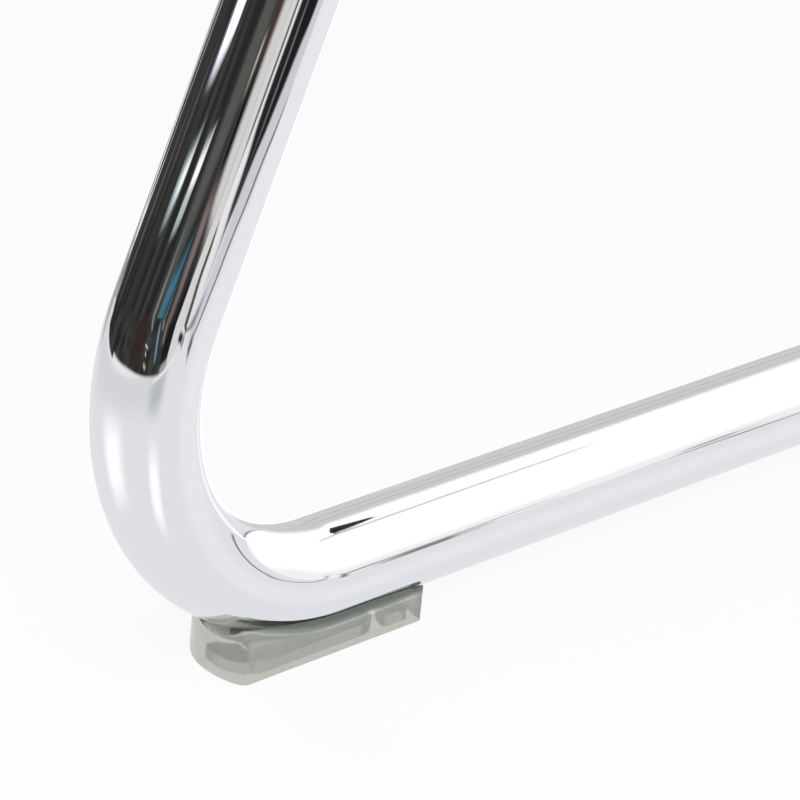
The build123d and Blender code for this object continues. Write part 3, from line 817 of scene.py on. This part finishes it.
def panel(under, colour, across, up, soft, lean=0.0, shear=0.0):
    """A soft-edged patch of the studio laid over what is under it. Across and up are each a middle and a
    half size in degrees, heading from the chair's front to its left and rise from the horizon."""
    turn = node(
        tree, "ShaderNodeMath", settings={"operation": "SUBTRACT"}, sockets={0: heading, 1: across[0]}
    ).outputs["Value"]
    lift = node(
        tree, "ShaderNodeMath", settings={"operation": "SUBTRACT"}, sockets={0: rise, 1: up[0]}
    ).outputs["Value"]
    aslant = node(
        tree, "ShaderNodeMath", settings={"operation": "MULTIPLY_ADD"}, sockets={0: turn, 1: -lean, 2: lift}
    ).outputs["Value"]
    astray = node(
        tree, "ShaderNodeMath", settings={"operation": "MULTIPLY_ADD"}, sockets={0: lift, 1: -shear, 2: turn}
    ).outputs["Value"]
    inside = []
    for value, half, edge in ((astray, across[1], soft[0]), (aslant, up[1], soft[1])):
        off = node(
            tree, "ShaderNodeMath", settings={"operation": "ABSOLUTE"}, sockets={0: value}
        ).outputs["Value"]
        inside.append(node(
            tree, "ShaderNodeMapRange", settings={"interpolation_type": "SMOOTHSTEP"},
            sockets={"Value": off, "From Min": half + edge / 2, "From Max": half - edge / 2},
        ).outputs["Result"])
    mask = node(
        tree, "ShaderNodeMath", settings={"operation": "MULTIPLY"}, sockets={0: inside[0], 1: inside[1]}
    ).outputs["Value"]
    return node(
        tree, "ShaderNodeMix", settings={"data_type": "RGBA"}, sockets={0: mask, 6: under, 7: colour}
    ).outputs[2]


LAMP = (1.15, 1.15, 1.15, 1)
mottle = node(tree, "ShaderNodeTexNoise", sockets={"Vector": way, "Scale": 7.0, "Detail": 3.0}).outputs["Fac"]
clutter = node(
    tree, "ShaderNodeMapRange", sockets={"Value": mottle, "From Min": 0.35, "From Max": 0.65}
).outputs["Result"]
dim = node(
    tree, "ShaderNodeMix", settings={"data_type": "RGBA"},
    sockets={0: clutter, 6: linear("#262827"), 7: linear("#434441")},
).outputs[2]
studio = linear("#EBECEF")
for colour, across, up, soft, lean, shear in (
    # the pale sweep: greyer towards its front edge, brighter where the lamps strike it
    (linear("#DFE0E2"), (-10, 76), (-14, 7), (30, 12), 0, 0),
    (linear("#C4C6C7"), (64, 12), (-16.5, 5), (16, 8), 0, 0),
    (linear("#F3F4F7"), (152, 26), (-27, 11), (24, 12), 0, 0),
    (linear("#F4F4F2"), (-15, 52), (-7.8, 1.4), (16, 2.2), 0, 0),
    (LAMP, (-24, 20), (-39, 12), (26, 16), 0, 0),
    (LAMP, (69, 9.5), (-42, 10), (13, 14), 0, 0),
    (LAMP, (-141, 20), (-22, 8), (16, 8), 0, 0),
    # white sheets all round, their feet in shade, the far left one grey
    (LAMP, (0, 400), (50, 51.2), (2, 1.2), 0, 0),
    ((1, 0.985, 0.97, 1), (138, 14), (4, 5), (8, 7), 0, 0),
    (linear("#ECEDF0"), (150, 50), (-5, 4), (10, 5), 0, 0),
    (linear("#85878A"), (140, 4.5), (-6, 0.5), (2, 0.9), -0.5, 0),
    (linear("#77797A"), (159, 16), (-7.3, 0.55), (6, 1), 0, 0),
    (linear("#D3D4D4"), (-128, 23), (12, 26), (9, 7), 0, 0),
    (linear("#BDBFBF"), (-133, 7), (16, 1.2), (3, 1.5), 0, 0),
    (linear("#C0C2C2"), (-138, 6), (27.5, 1), (3, 1.5), 0, 0),
    (linear("#B9B5B0"), (-104, 16), (-12, 4), (12, 4), 0, 0),
    # the dim room in front
    (dim, (-37, 53), (17, 23.3), (8, 1.6), 0, 0),
    (dim, (-84, 16), (-0.4, 6.4), (10, 1.2), 0.36, 0),
    (dim, (-58, 18), (0, 8.2), (5, 1.2), 0, 0),
    (dim, (33, 37), (15.4, 24.7), (2, 1.6), -0.09, 0),
    (linear("#382C2A"), (8, 12), (3, 8), (12, 8), 0, 0),
    (linear("#595B56"), (29, 10), (14, 3.5), (10, 3), 0, 0),
    (linear("#646462"), (-88, 3), (-3.6, 1), (5, 2), 0.4, 0),
    (linear("#867673"), (51.5, 5), (6, 0.85), (5, 1.4), -0.45, 0),
    (linear("#4E3C38"), (53, 8), (9.4, 1.2), (4, 1.2), -0.33, 0),
    (linear("#B8AEA6"), (42.2, 1.8), (11.45, 0.4), (2, 0.6), -0.25, 0),
    (linear("#17171B"), (49.5, 3.5), (8.3, 1), (4, 1.2), -0.25, 0),
    (linear("#1D1E20"), (63.5, 6), (-3.5, 5.5), (5, 4), 0, 0),
    (linear("#A8A8A6"), (66, 5), (-10.9, 1.3), (6, 2), 0, 0),
    (linear("#F4F2EA"), (67, 15), (-12.6, 0.6), (8, 1), 0, 0),
    # its window and lamps, and things that catch their light
    ((1.3, 1.3, 1.3, 1), (-33, 9.8), (20.17, 7), (3, 0.9), 0.231, 0),
    (linear("#6A7490"), (-44.5, 2), (11, 0.8), (2.4, 1), 0.25, 0),
    (linear("#A9BFC2"), (-26.5, 3.2), (12.35, 0.5), (4, 0.8), 0.17, 0),
    ((1.05, 1.07, 1.06, 1), (-20.3, 4), (13.4, 0.45), (3.4, 0.7), 0.17, 0),
    (linear("#BCCAC4"), (3.5, 5), (14.1, 0.26), (3, 0.4), 0, 0),
    (LAMP, (4.8, 4.8), (14.8, 0.4), (3, 0.6), 0, 0),
    (linear("#6A665E"), (-69, 2), (0.2, 1.2), (6, 2.4), 0.3, 0),
    (linear("#56544E"), (-55, 3), (6.6, 1.2), (6, 2), 0.3, 0),
    (linear("#7898A8"), (44.3, 1.3), (0, 6.4), (2.4, 4), 0, -0.6),
    (linear("#44788F"), (37, 6), (8.8, 0.4), (2, 0.6), -0.18, 0),
    (linear("#8C908C"), (46.3, 0.9), (5, 1.6), (1.6, 1.6), 0, -0.9),
    (linear("#84706A"), (54, 1.5), (1, 3.5), (2.4, 3), 0, -0.45),
    (linear("#C8D0D0"), (26.5, 3), (0.9, 0.4), (1.4, 0.8), -0.3, 0),
    (linear("#B8BEBC"), (28, 1.6), (-1.8, 0.45), (1.2, 0.8), -0.5, 0),
    (linear("#A8A890"), (30.5, 2.8), (-6, 0.8), (2, 1), -0.35, 0),
    (linear("#8C8E82"), (25, 1.2), (9.2, 2.8), (2.2, 2), 0, -1.05),
    # the white sheet at the right, with the stands and gaps beside it
    (linear("#E2DFDB"), (76, 6.5), (-3, 8), (1.6, 2), 0, -0.3),
    (linear("#DCDAD7"), (62, 7.5), (5.5, 2.7), (9, 1.2), -0.42, 0),
    (linear("#F4F3F0"), (84.5, 5), (-4.2, 2.6), (2, 1.2), -0.75, 0),
    (linear("#D6D7DA"), (116, 15), (-15.5, 2.6), (6, 2), -0.2, 0),
    (linear("#5E5C5A"), (78.8, 1.4), (-0.4, 2.2), (1.8, 2), 0, -0.5),
    (linear("#3E3C3A"), (85.5, 6.5), (-7.2, 0.38), (2, 0.5), -0.53, 0),
    (linear("#2E2B2A"), (85.5, 4), (-9.4, 0.9), (3, 1), -0.42, 0),
    (linear("#8A8C96"), (92, 2), (-12.1, 0.9), (2, 1.4), -0.6, 0),
    (linear("#8E8E90"), (97.5, 6.5), (-12.2, 0.3), (2, 0.6), -0.31, 0),
    (linear("#262628"), (91, 6.5), (-4.2, 3.2), (4.5, 1.3), -0.6, 0),
    (linear("#1E2024"), (107, 11), (-8.6, 4), (5, 1), -0.2, 0),
    (linear("#6E746E"), (97.5, 1), (-7.8, 1.8), (2, 2), 0, -0.9),
    (linear("#72726F"), (110.5, 3.5), (-18.3, 0.9), (3, 1.2), -0.42, 0),
    (linear("#5E5E5E"), (121, 10.5), (-18.7, 0.3), (3, 0.6), -0.135, 0),
    (linear("#8A8A86"), (131.2, 0.6), (-1.8, 2.4), (0.9, 2), 0, 0),
    (linear("#8C8E8E"), (135.2, 0.8), (-2.2, 0.6), (0.8, 0.9), -1.1, 0),
    (linear("#9A9C9C"), (130, 0.5), (0.9, 1), (0.8, 1), 0, 0),
    (linear("#8C8C8A"), (131, 1.6), (1.2, 0.5), (1.4, 0.9), 0.3, 0),
    (linear("#B4B6B8"), (135.2, 0.5), (1.8, 1.6), (0.8, 1.4), 0, 0),
):
    studio = panel(studio, colour, across, up, soft, lean, shear)
shine = node(tree, "ShaderNodeBackground", sockets={"Color": studio, "Strength": 1.0}).outputs["Background"]
plain = node(
    tree, "ShaderNodeBackground", sockets={"Color": (1, 1, 1, 1), "Strength": 0.72}
).outputs["Background"]
white = node(
    tree, "ShaderNodeBackground", sockets={"Color": (1, 1, 1, 1), "Strength": 1.0}
).outputs["Background"]
mirror = node(
    tree, "ShaderNodeMixShader", sockets={0: path.outputs["Is Glossy Ray"], 1: plain, 2: shine}
).outputs["Shader"]
clear = node(
    tree, "ShaderNodeMath", settings={"operation": "MAXIMUM"},
    sockets={0: path.outputs["Is Camera Ray"], 1: path.outputs["Is Transmission Ray"]},
).outputs["Value"]
final = node(tree, "ShaderNodeMixShader", sockets={0: clear, 1: mirror, 2: white}).outputs["Shader"]
tree.links.new(final, out.inputs["Surface"])

# Studio lamps: two large square softboxes on stands, a key high in front on the sitter's left and a weaker
# fill opposite. They light the chair and stay out of its reflections.
for name, spot, size, power in (
    ("key_softbox", Vector((1.6, -1.4, 2.4)), 1.6, 34.0),
    ("fill_softbox", Vector((-1.8, -0.8, 1.8)), 1.6, 14.0),
):
    lamp = bpy.data.lights.new(name, "AREA")
    lamp.shape = "SQUARE"
    lamp.size = size
    lamp.energy = power
    holder = bpy.data.objects.new(name, lamp)
    holder.location = spot
    holder.rotation_euler = (Vector((0, 0, 0.4)) - spot).to_track_quat("-Z", "Y").to_euler()
    holder.visible_glossy = False
    scene.collection.objects.link(holder)

# Camera: the photograph's close view of the left front corner, through a long lens held a little askew.
# Its angles and distance come from fitting the tube's outline; the focal length is in the picture's pixels.
PICTURE = 800
FOCAL = 4223.33
SENSOR = 36.0
DISTANCE = 0.9964664
TURN = 0.8122345
DROP = 0.4308684
ASKEW = 0.0984831
AIM = Vector((SIDE_X, FRONT_BEND.y + 0.0232466, RUN_Z + 0.0377571))
ahead = Vector((-math.cos(TURN) * math.cos(DROP), math.sin(TURN) * math.cos(DROP), -math.sin(DROP)))
level = Vector((math.sin(TURN), math.cos(TURN), 0))
above = level.cross(ahead)
sideways = math.cos(ASKEW) * level + math.sin(ASKEW) * above
upright = math.cos(ASKEW) * above - math.sin(ASKEW) * level
lens = bpy.data.cameras.new("close_view")
lens.sensor_width = SENSOR
lens.lens = SENSOR * FOCAL / PICTURE
lens.clip_end = 100.0
camera = bpy.data.objects.new("close_view", lens)
camera.matrix_world = Matrix.Translation(AIM - DISTANCE * ahead) @ Matrix(
    (sideways, upright, -ahead)
).transposed().to_4x4()
scene.collection.objects.link(camera)
scene.camera = camera
scene.view_settings.view_transform = "Standard"
